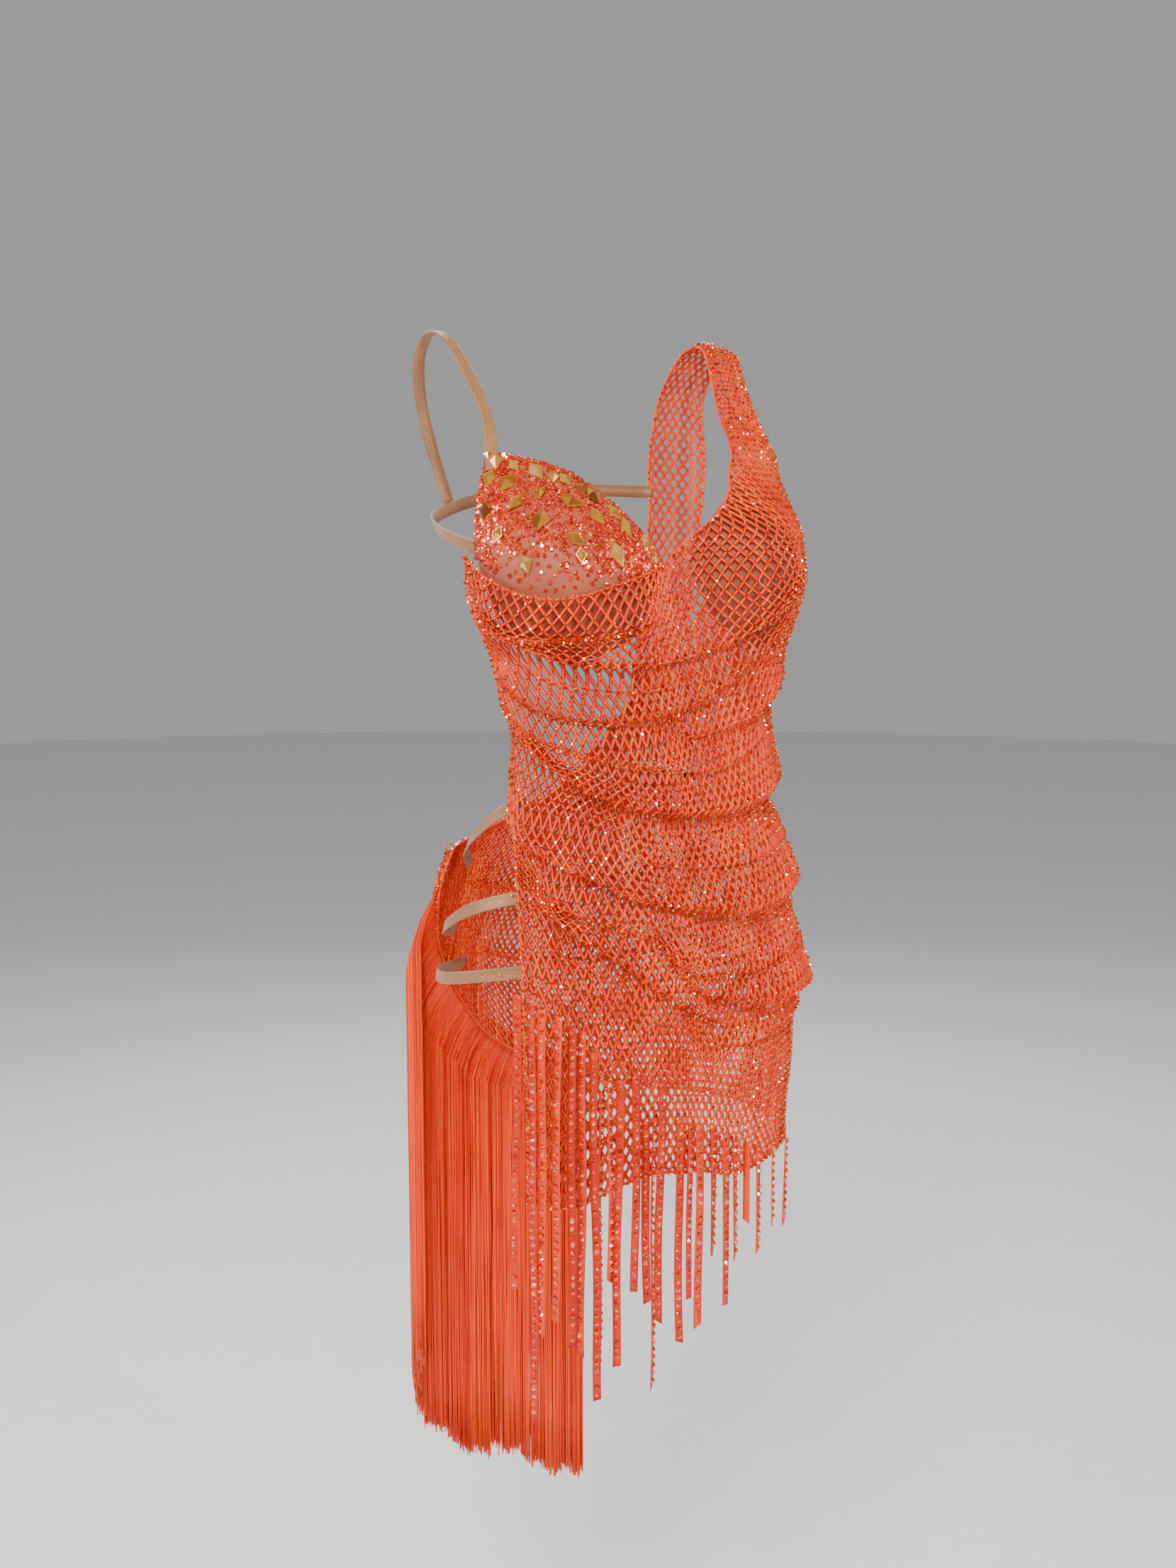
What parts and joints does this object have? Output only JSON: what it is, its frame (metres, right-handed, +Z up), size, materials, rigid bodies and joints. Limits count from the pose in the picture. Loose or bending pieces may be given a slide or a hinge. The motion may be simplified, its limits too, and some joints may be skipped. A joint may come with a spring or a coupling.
{
  "type": "salsa dance dress",
  "caption": "One-shoulder stoned net dance dress in worn form: swagged front, bra cup, elastic hip straps, ribbon fringe in front and a long strand fringe behind.",
  "frame": {"origin": "midway between the two places where the shoulder straps cross the wearer's shoulders, at the height of the shoulder tops", "axes": "+Z up along the wearer's height, -Y the way the wearer faces, +X towards the wearer's left"},
  "size_m": [0.3022, 0.2651, 0.99],
  "materials": {
    "coral_stoned_net": "open hexagonal net of coral orange cord with flat-backed stones at the knots",
    "nude_tulle_with_stones": "nude tulle set with small orange stones and amber sew-on crystals",
    "tan_elastic": "flat tan bra elastic with a soft satin face",
    "stone_ribbon": "narrow orange ribbon with a row of faceted stones",
    "chainette_fringe": "silky red-orange chainette strands"
  },
  "bodies": {
    "root": {"front_drape": "coral_stoned_net", "back_panel": "coral_stoned_net", "back_strap": "coral_stoned_net", "cup_right": "nude_tulle_with_stones", "cup_left": "nude_tulle_with_stones", "shoulder_strap_right": "tan_elastic", "underarm_strap": "tan_elastic", "hip_strap_upper": "tan_elastic", "hip_strap_middle": "tan_elastic", "hip_strap_lower": "tan_elastic", "front_fringe": "stone_ribbon", "back_fringe": "chainette_fringe"}
  },
  "joints": []
}
